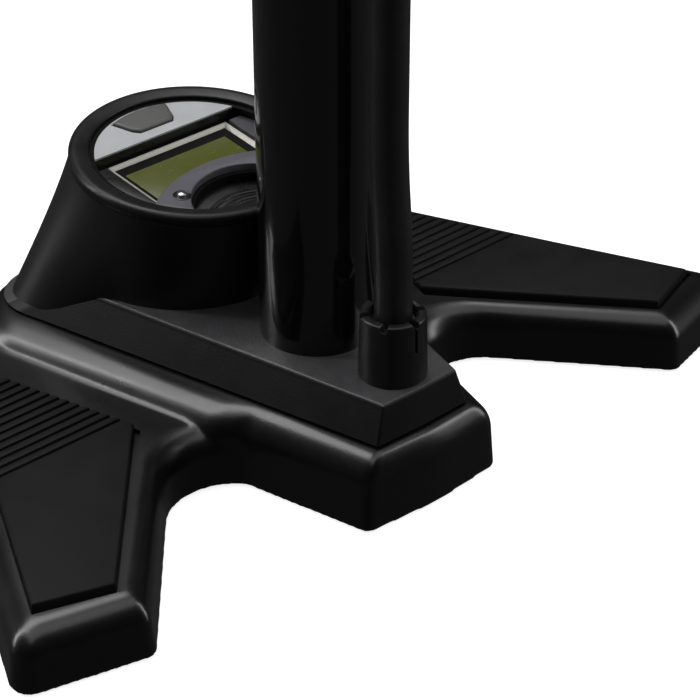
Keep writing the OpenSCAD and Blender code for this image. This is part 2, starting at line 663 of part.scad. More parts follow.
module chuck_lever() color("#b2b4b7") at_chuck() translate([pin_x, 0, pin_z]) difference() {
    union() {
        translate([0, 0, cam_offset]) across(cam_r, 6);
        translate([-2.6, -3, 2]) cube([4.6, 6, 8]);
        translate([-2.6, -6.5, 8]) cube([4.6, 13, 40]);
        translate([-0.3, 0, 48]) rotate([0, 90, 0]) cylinder(r = 6.5, h = 4.6, center = true);
    }
    across(1.55, 20);
}
module lever_pin() color("#c9ccd0") at_chuck() translate([pin_x, 0, pin_z]) across(1.49, 12);

// Arm on the barrel with an open fork that parks the chuck.
module chuck_dock() color("#1a1a1b") translate([0, 0, chuck_z]) difference() {
    union() {
        rod(barrel_d / 2 + 2.8, -7, 6);
        translate([chuck_x, 0, 0]) rod(chuck_r + 2.4, -7, 6);
        translate([10, -4, -7]) cube([chuck_x - 14, 8, 13]);
    }
    rod(barrel_d / 2 + 0.03, -8, 7);
    translate([chuck_x, 0, 0]) rod(chuck_r + 0.05, -8, 7);
    translate([chuck_x + 3, -20, -8]) cube([20, 40, 15]);
    translate([-30, -6, -8]) cube([16, 12, 15]);
}
module hose_ferrule() color("#b2b4b7") at_chuck() tube(hose_r + 1.6, hose_r + 0.05, 10.2, 26);

base_casting();
manifold_block();
mirror([1, 0, 0]) tread();  // left_tread
tread();  // right_tread
rubber_feet();
cover_screws();
deck_cover();
gauge_housing();
gauge_bezel();
dial_plate();
dial_panel();
mode_button();
lcd_bezel();
lcd_panel();
dial_arch();
dial_screws();
circuit_board();
coin_cell();
pressure_sensor();
sensor_tube();
barrel();
barrel_seal();
check_seat();
check_ball();
check_spring();
barrel_cap();
rod_bush();
rod_wiper();
piston_rod();
piston_head();
piston_seal();
piston_bolt();
topout_bumper();
handle_bumper();
handle_core();
mirror([1, 0, 0]) grip();  // left_grip
grip();  // right_grip
grip_caps();
handle_screw();
handle_plug();
hose();
hose_collar();
hose_fitting();
hose_seal();
hose_clip();
hose_ferrule();
chuck_dock();
chuck_body();
chuck_cap();
chuck_gasket();
chuck_plunger();
chuck_lever();
lever_pin();
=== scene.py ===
import math

import bmesh
import bpy
from mathutils import Matrix, Vector


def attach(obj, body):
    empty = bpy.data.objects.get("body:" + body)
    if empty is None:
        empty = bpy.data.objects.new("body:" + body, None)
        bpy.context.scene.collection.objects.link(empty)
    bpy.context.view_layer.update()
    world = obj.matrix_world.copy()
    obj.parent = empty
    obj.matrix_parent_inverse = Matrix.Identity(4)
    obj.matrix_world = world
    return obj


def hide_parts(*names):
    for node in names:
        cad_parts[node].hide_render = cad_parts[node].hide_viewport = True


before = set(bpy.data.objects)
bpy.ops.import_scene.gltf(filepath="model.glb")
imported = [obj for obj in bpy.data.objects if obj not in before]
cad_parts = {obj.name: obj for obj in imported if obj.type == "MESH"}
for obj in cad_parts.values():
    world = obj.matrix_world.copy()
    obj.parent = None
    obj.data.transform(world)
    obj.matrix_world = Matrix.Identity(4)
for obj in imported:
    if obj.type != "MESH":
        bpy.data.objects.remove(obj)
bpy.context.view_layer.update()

MM = 0.001
scene = bpy.context.scene

# ---------------------------------------------------------------- sizes in mm, as in the CAD
FOOT_H = 1.5
LEG_Z = FOOT_H + 18.5
RIM_Z = FOOT_H + 25.0
DECK_Z = FOOT_H + 39.0
FACE_Z = FOOT_H + 81.0
GAUGE_Y, GAUGE_R, DIAL_R, TILT = 61.8, 42.8, 35.0, 4.9
HOUSE_Y0 = 71.4
BARREL_R, BARREL_TOP, ROD_R = 19.0, 600.0, 7.0
HOSE_R, HOSE_Y, UPPER_Y = 6.1, 36.7, 33.7
LEAN_Z0, LEAN_Z1, LOOP_Z, LOOP_R = FOOT_H + 68, FOOT_H + 130, 480.0, 36.0
COLLAR_Z1 = FOOT_H + 61.5
HANDLE_Z = BARREL_TOP + 46
HANDLE_W, GRIP_D, GRIP_X0 = 262.0, 31.0, 34.0
LOOP_ANGLE = math.asin(UPPER_Y / (2 * LOOP_R))
CHUCK_X, CHUCK_Z = 2 * LOOP_R * math.cos(LOOP_ANGLE), 330.0

FOOT_PTS = [(0, -50.8), (27.2, -50.8), (47.9, 19.3), (115.6, -59.3), (159.3, -48), (88, 110), (0, 133)]
FOOT_RADII = [100, 4, 21, 4, 7, 20, 60]
TOP_PTS = [(0, -40), (19, -40), (45.5, 31), (117.2, -48), (145.8, -40.2), (81.5, 101), (0, 123)]
TOP_RADII = [60, 1, 24, 1.2, 2, 12, 50]
SPINE_PTS = [(0, -59), (28.7, -56.8), (41, -8.5), (50, 0.5), (77, 103), (0, 131)]
SPINE_RADII = [100, 4, 8, 12, 26, 60]
RIM_PTS = [(0, -52.2), (19.9, -51.6), (31.2, -7.7), (33.3, 0.5), (61, 108), (0, 123)]
RIM_RADII = [100, 1, 2000, 2000, 18, 50]
SEAM_PTS = [(0, -52.2), (19.9, -51.6), (61, 108), (0, 123)]
SEAM_RADII = [100, 1, 18, 50]
DECK_PTS = [(0, -50.5), (16.4, -50.1), (49.9, 90), (0, 104)]
DECK_RADII = [100, 0.9, 16, 45]
TREAD_PTS = [(64.5, 17.5), (119.3, -45), (143, -37), (93.1, 70), (80.5, 70)]
RIB_FIRST, RIB_LAST, RIB_PITCH, RIB_GROOVE = 21.0, 69.5, 3.9, 1.5
# the tread's sides slope out by its skirt; its top edge is rounded by its edge, with one bend between
TREAD_SKIRT, TREAD_EDGE, TREAD_BEND = 0.5, 0.45, 0.13
# the seat's side i lies this far outside the tread's side i
SEAT_GAPS = [-2.6, -2.2, -1.0, -0.6, -0.3]
SEAT_DEPTH = 1.5
# underside of the casting, and the heights where the shoulders of its legs and of its spine begin
UNDERSIDE, LEG_WALL_Z, SPINE_WALL_Z = FOOT_H - 0.9, FOOT_H + 8, FOOT_H + 13
DECK_EDGE, SEAM_GAP = 1.3, 0.9
# the housing's foot: a circle in front, a squared outline behind, and how fast the side slopes out to it
HOUSE_FRONT_R, HOUSE_SIDE_R, HOUSE_BACK_R, HOUSE_CURVE = 40.5, 60, 46, 1.15
# dial, from the face's centre: bright panel, button and its window, display, ribbed bay, screws
PANEL_Y, BUTTON_Y, WINDOW_Y = 16.5, 25.5, 27
LCD_X, LCD_Y0, LCD_Y1 = 25.6, -11.6, 15.0
BAY_Y = -39.8
SCREW_X, SCREW_Y = 19.0, -16.6
# heights on the dial, below the face's plane
DIAL_FLOOR, DIAL_BASE = -9.5, -9.7


# ---------------------------------------------------------------- outlines
def v2(p):
    return Vector((p[0], p[1]))


def corner_arc(pts, radii, i, n):
    """Points of the arc that rounds corner i of a closed polygon, in n steps."""
    p = v2(pts[i])
    a = (p - v2(pts[i - 1])).normalized()
    b = (v2(pts[(i + 1) % len(pts)]) - p).normalized()
    turn = math.atan2(a.x * b.y - a.y * b.x, a.dot(b))
    r = radii[i]
    start = p - a * r * math.tan(abs(turn) / 2)
    centre = start + Vector((-a.y, a.x)) * r * math.copysign(1, turn)
    arm = start - centre
    out = []
    for k in range(n + 1):
        t = turn * k / n
        c, s = math.cos(t), math.sin(t)
        out.append((centre.x + arm.x * c - arm.y * s, centre.y + arm.x * s + arm.y * c))
    return out


def rounded(pts, radii, n):
    """The closed polygon with every corner rounded by its own radius."""
    return [q for i in range(len(pts)) for q in corner_arc(pts, radii, i, n)]


def both_sides(half):
    """A right half outline and its mirror image; the first and last points are on the centre line."""
    return list(half) + [(-x, y) for x, y in reversed(half[1:-1])]


def both_radii(half):
    return list(half) + list(reversed(half[1:-1]))


def moved_in(pts, d):
    """A closed polygon with all its sides moved inwards by d."""
    out = []
    for i, p in enumerate(pts):
        a = (v2(p) - v2(pts[i - 1])).normalized()
        b = (v2(pts[(i + 1) % len(pts)]) - v2(p)).normalized()
        a, b = Vector((-a.y, a.x)), Vector((-b.y, b.x))
        q = v2(p) + (a + b) * (d / (1 + a.dot(b)))
        out.append((q.x, q.y))
    return out


def moved_by(pts, distances):
    """A closed polygon with side i (from corner i to the next) moved inwards by distances[i]."""
    sides = []
    for i, p in enumerate(pts):
        along = (v2(pts[(i + 1) % len(pts)]) - v2(p)).normalized()
        sides.append((v2(p) + Vector((-along.y, along.x)) * distances[i], along))
    out = []
    for i, (p, a) in enumerate(sides):
        q, b = sides[i - 1]
        cross = a.x * b.y - a.y * b.x
        t = ((q.x - p.x) * b.y - (q.y - p.y) * b.x) / cross
        out.append((p.x + a.x * t, p.y + a.y * t))
    return out


def mix(a, b, t):
    return [(p[0] * (1 - t) + q[0] * t, p[1] * (1 - t) + q[1] * t) for p, q in zip(a, b)]


def at_z(outline, z):
    return [(x, y, z) for x, y in outline]


def densified(pts, step):
    """The closed polygon with points added so that no side is longer than step."""
    out = []
    for i, p in enumerate(pts):
        q = pts[(i + 1) % len(pts)]
        n = max(1, math.ceil(math.dist(p, q) / step))
        out += [(p[0] + (q[0] - p[0]) * k / n, p[1] + (q[1] - p[1]) * k / n) for k in range(n)]
    return out


def clipped(poly, normal, offset):
    """The part of a convex polygon where normal . p <= offset."""
    out = []
    for i, p in enumerate(poly):
        q = poly[(i + 1) % len(poly)]
        dp = normal[0] * p[0] + normal[1] * p[1] - offset
        dq = normal[0] * q[0] + normal[1] * q[1] - offset
        if dp <= 0:
            out.append(p)
        if dp * dq < 0:
            t = dp / (dp - dq)
            out.append((p[0] + (q[0] - p[0]) * t, p[1] + (q[1] - p[1]) * t))
    return out


# ---------------------------------------------------------------- meshes: lists of (verts, faces) in mm
class Shape:
    """Collects closed shells for one piece."""

    def __init__(self):
        self.verts, self.faces = [], []

    def add(self, verts, faces, place=None):
        n = len(self.verts)
        self.verts += [tuple(place @ Vector(v)) if place else tuple(v) for v in verts]
        self.faces += [tuple(i + n for i in f) for f in faces]
        return self

    def loft(self, rings, place=None, closed=False):
        """Joins rings of equally many points; closed joins the last ring to the first, with no caps."""
        n, m = len(rings[0]), len(rings)
        faces = []
        for j in range(m if closed else m - 1):
            k = (j + 1) % m
            faces += [(j * n + i, j * n + (i + 1) % n, k * n + (i + 1) % n, k * n + i) for i in range(n)]
        if not closed:
            faces.append(tuple(reversed(range(n))))
            faces.append(tuple((m - 1) * n + i for i in range(n)))
        return self.add([p for r in rings for p in r], faces, place)

    def lathe(self, profile, segs=64, place=None, closed=False, wave=None):
        """Turns (r, z) points about Z. wave(angle, r, z) may change the radius and height."""
        rings = []
        for r, z in profile:
            ring = []
            for k in range(segs):
                a = 2 * math.pi * k / segs
                rr, zz = wave(a, r, z) if wave else (r, z)
                ring.append((rr * math.cos(a), rr * math.sin(a), zz))
            rings.append(ring)
        return self.loft(rings, place, closed=closed)

    def prism(self, pts, z0, z1, edge=0.3, place=None, steps=3):
        """Prism of a polygon with a rounded top edge."""
        rings = [at_z(pts, z0)]
        for k in range(steps + 1):
            t = math.pi / 2 * k / steps
            inset = edge * (1 - math.cos(t))
            rings.append(at_z(moved_in(pts, inset) if inset > 1e-6 else pts, z1 - edge + edge * math.sin(t)))
        return self.loft(rings, place)


def piece(name, shape, material, body, replaces=(), angle=35):
    """Makes a piece that rides on a body and may replace CAD nodes; edges above angle stay sharp."""
    mesh = bpy.data.meshes.new(name)
    mesh.from_pydata([tuple(c * MM for c in v) for v in shape.verts], [], shape.faces)
    mesh.validate()
    bm = bmesh.new()
    bm.from_mesh(mesh)
    bmesh.ops.remove_doubles(bm, verts=bm.verts, dist=1e-7)
    bmesh.ops.recalc_face_normals(bm, faces=bm.faces)
    bm.to_mesh(mesh)
    bm.free()
    obj = bpy.data.objects.new(name, mesh)
    scene.collection.objects.link(obj)
    mesh.materials.append(material)
    for p in mesh.polygons:
        p.use_smooth = True
    mesh.set_sharp_from_angle(angle=math.radians(angle))
    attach(obj, body)
    if replaces:
        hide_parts(*replaces)
    return obj


def baked(obj):
    """Replaces an object's mesh by its modified result."""
    bpy.context.view_layer.update()
    depsgraph = bpy.context.evaluated_depsgraph_get()
    mesh = bpy.data.meshes.new_from_object(obj.evaluated_get(depsgraph))
    obj.modifiers.clear()
    obj.data = mesh
    for p in mesh.polygons:
        p.use_smooth = True


# ---------------------------------------------------------------- materials
def mat(name, colour, rough, metallic=0.0, vary=0.12, rough_vary=0.08, scale=60.0, grain=0.0,
        grain_scale=1500.0, coat=0.0, coat_rough=0.1, spec=0.5, wear=0.0, bump_big=0.0, streak=None):
    """Procedural finish: mottled colour and roughness, a fine grain bump, a broad bump and worn edges."""
    m = bpy.data.materials.new(name)
    m.use_nodes = True
    nt = m.node_tree
    nt.nodes.clear()
    new, link = nt.nodes.new, nt.links.new

    def node(kind, **inputs):
        n = new(kind)
        for key, value in inputs.items():
            n.inputs[key].default_value = value
        return n

    out = new("ShaderNodeOutputMaterial")
    shader = new("ShaderNodeBsdfPrincipled")
    link(shader.outputs[0], out.inputs[0])
    coords = new("ShaderNodeTexCoord").outputs["Object"]
    if streak:
        mapping = new("ShaderNodeMapping")
        mapping.inputs["Scale"].default_value = streak
        link(coords, mapping.inputs[0])
        coords_used = mapping.outputs[0]
    else:
        coords_used = coords
    broad = node("ShaderNodeTexNoise", Scale=scale, Detail=4.0, Roughness=0.55)
    link(coords_used, broad.inputs["Vector"])
    small = node("ShaderNodeTexNoise", Scale=scale * 9, Detail=3.0, Roughness=0.6)
    link(coords_used, small.inputs["Vector"])
    both = new("ShaderNodeMix")
    both.data_type = "FLOAT"
    both.inputs[0].default_value = 0.4
    link(broad.outputs["Fac"], both.inputs[2])
    link(small.outputs["Fac"], both.inputs[3])
    ramp = new("ShaderNodeValToRGB")
    low = [c * (1 - vary) for c in colour] + [1]
    high = [min(1, c * (1 + vary)) for c in colour] + [1]
    ramp.color_ramp.elements[0].position, ramp.color_ramp.elements[0].color = 0.3, low
    ramp.color_ramp.elements[1].position, ramp.color_ramp.elements[1].color = 0.7, high
    link(both.outputs[0], ramp.inputs[0])
    colour_out = ramp.outputs[0]
    if wear:
        bevel = node("ShaderNodeBevel", Radius=0.0006)
        bevel.samples = 4
        geo = new("ShaderNodeNewGeometry")
        dot = new("ShaderNodeVectorMath")
        dot.operation = "DOT_PRODUCT"
        link(bevel.outputs[0], dot.inputs[0])
        link(geo.outputs["Normal"], dot.inputs[1])
        amount = new("ShaderNodeMapRange")
        amount.inputs["From Min"].default_value = 0.995
        amount.inputs["From Max"].default_value = 0.9
        amount.inputs["To Max"].default_value = wear
        link(dot.outputs["Value"], amount.inputs["Value"])
        worn = new("ShaderNodeMix")
        worn.data_type = "RGBA"
        link(amount.outputs[0], worn.inputs[0])
        link(colour_out, worn.inputs[6])
        worn.inputs[7].default_value = [min(1, c * 3 + 0.03) for c in colour] + [1]
        colour_out = worn.outputs[2]
    link(colour_out, shader.inputs["Base Color"])
    spread = new("ShaderNodeMapRange")
    spread.inputs["From Min"].default_value = 0.3
    spread.inputs["From Max"].default_value = 0.7
    spread.inputs["To Min"].default_value = max(0.02, rough - rough_vary)
    spread.inputs["To Max"].default_value = min(1, rough + rough_vary)
    link(both.outputs[0], spread.inputs["Value"])
    link(spread.outputs[0], shader.inputs["Roughness"])
    shader.inputs["Metallic"].default_value = metallic
    shader.inputs["Specular IOR Level"].default_value = spec
    shader.inputs["Coat Weight"].default_value = coat
    shader.inputs["Coat Roughness"].default_value = coat_rough
    last = None
    if bump_big:
        peel = node("ShaderNodeTexNoise", Scale=scale * 4, Detail=1.0)
        link(coords_used, peel.inputs["Vector"])
        bump = node("ShaderNodeBump", Strength=1.0, Distance=bump_big)
        link(peel.outputs["Fac"], bump.inputs["Height"])
        last = bump
    if grain:
        cells = new("ShaderNodeTexVoronoi")
        cells.inputs["Scale"].default_value = grain_scale
        link(coords, cells.inputs["Vector"])
        fuzz = node("ShaderNodeTexNoise", Scale=grain_scale * 0.8, Detail=3.0)
        link(coords, fuzz.inputs["Vector"])
        mixed = new("ShaderNodeMix")
        mixed.data_type = "FLOAT"
        mixed.inputs[0].default_value = 0.5
        link(cells.outputs["Distance"], mixed.inputs[2])
        link(fuzz.outputs["Fac"], mixed.inputs[3])
        bump = node("ShaderNodeBump", Strength=1.0, Distance=grain)
        link(mixed.outputs[0], bump.inputs["Height"])
        if last:
            link(last.outputs[0], bump.inputs["Normal"])
        last = bump
    if last:
        link(last.outputs[0], shader.inputs["Normal"])
    return m


M = {
    "cast": mat("satin_black_paint", (0.0035, 0.0035, 0.0038), 0.3, rough_vary=0.04, scale=35,
                grain=0.00002, grain_scale=1800, coat=0.3, coat_rough=0.22, spec=0.5),
    # One grained black in two copies: the deck's sides take this darker one as painted shade, and its upward
    # faces take the much lighter one below as painted light.
    "cover": mat("grained_black", (0.0075, 0.0075, 0.0079), 0.5, scale=70, grain=0.00006, grain_scale=1500,
                 spec=0.28),
    "cover_painted_light_top": mat("grained_painted_light_top", (0.052, 0.052, 0.055), 0.42, vary=0.3, scale=160, grain=0.00016,
                     grain_scale=1500, spec=0.5),
    "housing": mat("matte_black", (0.0055, 0.0055, 0.0058), 0.42, scale=40, grain=0.00003, grain_scale=2600,
                   rough_vary=0.04),
    "bezel": mat("bezel_grey", (0.011, 0.011, 0.0117), 0.34, scale=60, grain=0.00004, grain_scale=2200,
                 spec=0.3),
    "tread": mat("tread_rubber", (0.0085, 0.0085, 0.0088), 0.6, scale=90, vary=0.3, grain=0.00006,
                 grain_scale=2400, spec=0.12),
    "rubber": mat("black_rubber", (0.014, 0.014, 0.0145), 0.62, scale=90, vary=0.2, grain=0.00006,
                  grain_scale=2000),
    "barrel": mat("gloss_black_paint", (0.0035, 0.0035, 0.0037), 0.16, rough_vary=0.04, scale=30, coat=0.7,
                  coat_rough=0.05, bump_big=0.000006),
    "hose": mat("hose_rubber", (0.016, 0.016, 0.0165), 0.34, scale=60, vary=0.2, grain=0.00003,
                grain_scale=2500),
    "black": mat("satin_black_moulding", (0.009, 0.009, 0.0093), 0.38, scale=70, grain=0.00004,
                 grain_scale=2000, wear=0.25),
    "dial_black": mat("dial_black", (0.007, 0.007, 0.0078), 0.3, scale=120, grain=0.00002,
                      grain_scale=3000),
    "dial_grey": mat("dial_grey", (0.055, 0.055, 0.06), 0.4, scale=150, grain=0.00003, grain_scale=3000),
    # Painted shade: this near-black stands for the shade in the seam gap, the gap round the dial, the
    # display's recess and the space under the bridge.
    "painted_shade": mat("painted_shade_black", (0.0035, 0.0035, 0.0032), 0.75, vary=0.2, scale=150, grain=0.00002,
                  spec=0.12),
    "silver": mat("silver_paint", (0.44, 0.445, 0.46), 0.45, metallic=0.15, vary=0.05, scale=150,
                  grain=0.00003, grain_scale=5000),
    "button": mat("button_grey", (0.085, 0.085, 0.083), 0.45, vary=0.1, scale=150, grain=0.00004,
                  grain_scale=3500),
    "arch": mat("arch_grey", (0.095, 0.092, 0.107), 0.45, metallic=0.1, vary=0.1, scale=150, grain=0.00005,
                grain_scale=3500),
    "lcd_frame": mat("display_frame", (0.4, 0.39, 0.35), 0.35, metallic=0.2, vary=0.07, scale=150),
    "lcd": mat("olive_display", (0.085, 0.095, 0.018), 0.25, vary=0.07, rough_vary=0.04, scale=200,
               coat=0.3, coat_rough=0.1),
    "steel": mat("plain_steel", (0.55, 0.56, 0.58), 0.32, metallic=1.0, vary=0.06, scale=120,
                 streak=(1, 1, 12)),
    "chrome": mat("hard_chrome", (0.72, 0.73, 0.75), 0.1, metallic=1.0, vary=0.03, rough_vary=0.03,
                  scale=80, streak=(10, 10, 1)),
    "alloy": mat("blasted_alloy", (0.5, 0.505, 0.52), 0.4, metallic=1.0, vary=0.06, scale=120,
                 grain=0.00004, grain_scale=3000),
    "brass": mat("turned_brass", (0.68, 0.48, 0.2), 0.28, metallic=1.0, vary=0.08, scale=120,
                 streak=(1, 1, 14)),
    "board": mat("solder_mask", (0.02, 0.16, 0.05), 0.3, vary=0.2, scale=300, coat=0.4),
    "acetal": mat("natural_acetal", (0.62, 0.59, 0.5), 0.4, vary=0.05, scale=120, grain=0.00003),
    "grip": mat("grip_rubber", (0.0105, 0.0105, 0.011), 0.55, vary=0.2, scale=110, grain=0.00008,
                grain_scale=1800),
}

NODE_MATERIAL = {
    "base_casting": "cast", "manifold_block": "alloy", "left_tread": "tread", "right_tread": "tread",
    "rubber_feet": "rubber", "cover_screws": "steel", "deck_cover": "cover", "gauge_housing": "housing",
    "gauge_bezel": "bezel", "dial_plate": "dial_black", "dial_panel": "silver", "mode_button": "button",
    "lcd_bezel": "lcd_frame", "lcd_panel": "lcd", "dial_arch": "arch", "dial_screws": "steel",
    "circuit_board": "board", "coin_cell": "steel", "pressure_sensor": "black", "sensor_tube": "acetal",
    "barrel": "barrel", "barrel_seal": "rubber", "check_seat": "brass", "check_ball": "steel",
    "check_spring": "steel", "barrel_cap": "black", "rod_bush": "acetal", "rod_wiper": "rubber",
    "piston_rod": "chrome", "piston_head": "black", "piston_seal": "rubber", "piston_bolt": "steel",
    "topout_bumper": "rubber", "handle_bumper": "rubber", "handle_core": "black", "left_grip": "grip",
    "right_grip": "grip", "grip_caps": "black", "handle_screw": "steel", "handle_plug": "black",
    "hose": "hose", "hose_collar": "black", "hose_fitting": "brass", "hose_seal": "rubber",
    "hose_clip": "black", "hose_ferrule": "alloy", "chuck_dock": "black", "chuck_body": "black",
    "chuck_cap": "alloy", "chuck_gasket": "rubber", "chuck_plunger": "acetal", "chuck_lever": "alloy",
    "lever_pin": "steel",
}
for name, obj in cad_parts.items():
    obj.data.materials.clear()
    obj.data.materials.append(M[NODE_MATERIAL[name]])
for name in ("hose_clip", "chuck_dock", "chuck_body", "barrel_cap", "chuck_cap"):
    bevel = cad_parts[name].modifiers.new("edge", "BEVEL")
    bevel.width = 0.0004
    bevel.segments = 2
    bevel.limit_method = "ANGLE"
    bevel.angle_limit = math.radians(40)

# ---------------------------------------------------------------- base casting
N_CORNER = 20


def shoulder(a, b, z0, wall_z, top_z, draft=0.12, steps=14):
    """Rings from outline a at z0, up a drafted wall, and over a quarter turn to outline b at top_z."""
    rings = [at_z(a, z0), at_z(mix(a, b, draft * 0.5), (z0 + wall_z) / 2)]
    for k in range(steps + 1):
        t = math.pi / 2 * k / steps
        rings.append(at_z(mix(a, b, draft + (1 - draft) * (1 - math.cos(t))),
                          wall_z + (top_z - wall_z) * math.sin(t)))
    return rings


foot = rounded(both_sides(FOOT_PTS), both_radii(FOOT_RADII), N_CORNER)
top = rounded(both_sides(TOP_PTS), both_radii(TOP_RADII), N_CORNER)
spine = rounded(both_sides(SPINE_PTS), both_radii(SPINE_RADII), N_CORNER)
rim = rounded(both_sides(RIM_PTS), both_radii(RIM_RADII), N_CORNER)
cast = Shape()
cast.loft(shoulder(foot, top, UNDERSIDE, LEG_WALL_Z, LEG_Z))
cast.loft(shoulder(spine, rim, UNDERSIDE, SPINE_WALL_Z, RIM_Z))
casting = piece("casting_skin", cast, M["cast"], "stand", ["base_casting"])
remesh = casting.modifiers.new("skin", "REMESH")
remesh.mode = "VOXEL"
remesh.voxel_size = 0.0008
smooth = casting.modifiers.new("soften", "SMOOTH")
smooth.factor = 0.5
smooth.iterations = 12
baked(casting)
cutter_shape = Shape()
for side in (1, -1):
    seat = moved_by(TREAD_PTS, SEAT_GAPS)
    seat = seat if side > 0 else [(-x, y) for x, y in reversed(seat)]
    cutter_shape.loft([at_z(seat, LEG_Z - SEAT_DEPTH), at_z(seat, LEG_Z + 6)])
cutter_mesh = bpy.data.meshes.new("seat_cutter")
cutter_mesh.from_pydata([tuple(c * MM for c in v) for v in cutter_shape.verts], [], cutter_shape.faces)
cutter = bpy.data.objects.new("seat_cutter", cutter_mesh)
scene.collection.objects.link(cutter)
cut = casting.modifiers.new("seats", "BOOLEAN")
cut.operation = "DIFFERENCE"
cut.solver = "EXACT"
cut.object = cutter
baked(casting)
casting.data.set_sharp_from_angle(angle=math.radians(45))
bpy.data.objects.remove(cutter)

# ---------------------------------------------------------------- rubber treads and feet
for side, label in ((1, "right"), (-1, "left")):
    def on_side(pts):
        return [(x * side, y) for x, y in pts] if side > 0 else [(-x, y) for x, y in reversed(pts)]
    tread = Shape()
    groove_z, top_z = FOOT_H + 19.7, FOOT_H + 20.7
    skirt, skirt_z = moved_in(TREAD_PTS, -TREAD_SKIRT), LEG_Z + 0.4

    def slope_at(z):
        """Outline of the tread's sloping side at a height."""
        return moved_in(TREAD_PTS, -TREAD_SKIRT * (top_z - z) / (top_z - skirt_z))

    def slab(low, high, z0):
        """A piece of the tread between two lines across it, from z0 to its rounded top edge."""
        def cut_at(z, inset):
            outline = moved_in(slope_at(z), inset) if inset else slope_at(z)
            return clipped(clipped(outline, (0, -1), -low - inset), (0, 1), high - inset)
        insets = {z0: 0.0, top_z - TREAD_EDGE: 0.0, top_z - TREAD_BEND: TREAD_BEND, top_z: TREAD_EDGE}
        levels = [cut_at(z, inset) for z, inset in insets.items()]
        if len({len(level) for level in levels}) == 1 and len(levels[0]) > 2:
            tread.loft([at_z(on_side(level), z) for level, z in zip(levels, insets)])

    tread.loft([at_z(on_side(skirt), LEG_Z - 1.4), at_z(on_side(skirt), skirt_z),
                at_z(on_side(slope_at(groove_z)), groove_z)])
    slab(-60, RIB_FIRST, groove_z - 0.3)
    y = RIB_FIRST + RIB_GROOVE
    while y < RIB_LAST:
        slab(y, y + RIB_PITCH - RIB_GROOVE, groove_z - 0.3)
        y += RIB_PITCH
    piece(label + "_tread_pad", tread, M["tread"], "stand", [label + "_tread"], angle=50)

feet = Shape()
for x, y, r in ((126, -42, 7), (-126, -42, 7), (82, 88, 7), (-82, 88, 7), (0, -47, 5), (0, 0, 14)):
    feet.lathe([(0.01, 0), (r - 0.6, 0), (r, 0.5), (r, 3), (0.01, 3)], 40, Matrix.Translation((x, y, 0)))
piece("floor_feet", feet, M["rubber"], "stand", ["rubber_feet"])

# ---------------------------------------------------------------- deck
deck = Shape()
rings = []
deck_low = rounded(moved_in(both_sides(SEAM_PTS), 0.4), both_radii(SEAM_RADII), N_CORNER)


def deck_high(inset):
    return rounded(moved_in(both_sides(DECK_PTS), 0.4 + inset), both_radii(DECK_RADII), N_CORNER)


for t in (0, 0.02, 0.5, 0.96):
    z = RIM_Z + SEAM_GAP + (DECK_Z - DECK_EDGE - RIM_Z - SEAM_GAP) * t
    rings.append(at_z(mix(deck_low, deck_high(0), t), z))
for k in range(6):
    t = math.pi / 2 * k / 5
    rings.append(at_z(deck_high(DECK_EDGE * (1 - math.cos(t))), DECK_Z - DECK_EDGE + DECK_EDGE * math.sin(t)))
deck.loft(rings)
# A near-black band sunk in the seam between the casting and the deck: painted shade in the gap.
neck = Shape()
neck_line = rounded(moved_in(both_sides(SEAM_PTS), 1.5), both_radii(SEAM_RADII), N_CORNER)
neck.loft([at_z(neck_line, RIM_Z - 0.4), at_z(neck_line, RIM_Z + SEAM_GAP + 0.3)])
piece("seam_shade_band", neck, M["painted_shade"], "stand")
deck_skin = piece("deck_skin", deck, M["cover"], "stand", ["deck_cover"], angle=60)
# Faces that point up take the lighter copy of the grained black: painted light on the deck's top.
deck_skin.data.materials.append(M["cover_painted_light_top"])
for face in deck_skin.data.polygons:
    if face.normal.z > 0.75:
        face.material_index = 1


# ---------------------------------------------------------------- gauge housing
def step01(a, b, x):
    """Smooth step from 0 at a to 1 at b."""
    t = min(1, max(0, (x - a) / (b - a)))
    return t * t * (3 - 2 * t)


def house_foot_r(a):
    """Radius of the housing's foot at an angle: round in front, squared behind."""
    back = step01(-0.35, 0.55, math.sin(a))
    squared = ((abs(math.cos(a)) / HOUSE_SIDE_R) ** 3 + (abs(math.sin(a)) / HOUSE_BACK_R) ** 3) ** (-1 / 3)
    return HOUSE_FRONT_R * (1 - back) + squared * back


def house_ring(t, inset=0.0, n=180, dz=0.0):
    """Ring of the housing's side: t is 0 under the tilted rim and 1 at the foot."""
    ring = []
    for k in range(n):
        a = 2 * math.pi * k / n
        r = GAUGE_R + (house_foot_r(a) - GAUGE_R) * t ** HOUSE_CURVE - inset
        cy = GAUGE_Y + (HOUSE_Y0 - GAUGE_Y) * t
        y = cy + r * math.sin(a)
        top_z = FACE_Z - 4 + (y - GAUGE_Y) * math.tan(math.radians(TILT))
        ring.append((r * math.cos(a), y, top_z + (RIM_Z + 0.05 - top_z) * t + dz))
    return ring


house = Shape()
outer = [house_ring(j / 36) for j in range(36, -1, -1)]
inner = [house_ring(0, 5.2), house_ring(0, 5.2, dz=-9), house_ring(0.3, 9), house_ring(1, 9)]
house.loft(outer + inner, closed=True)
piece("housing_skin", house, M["housing"], "stand", ["gauge_housing"], angle=60)

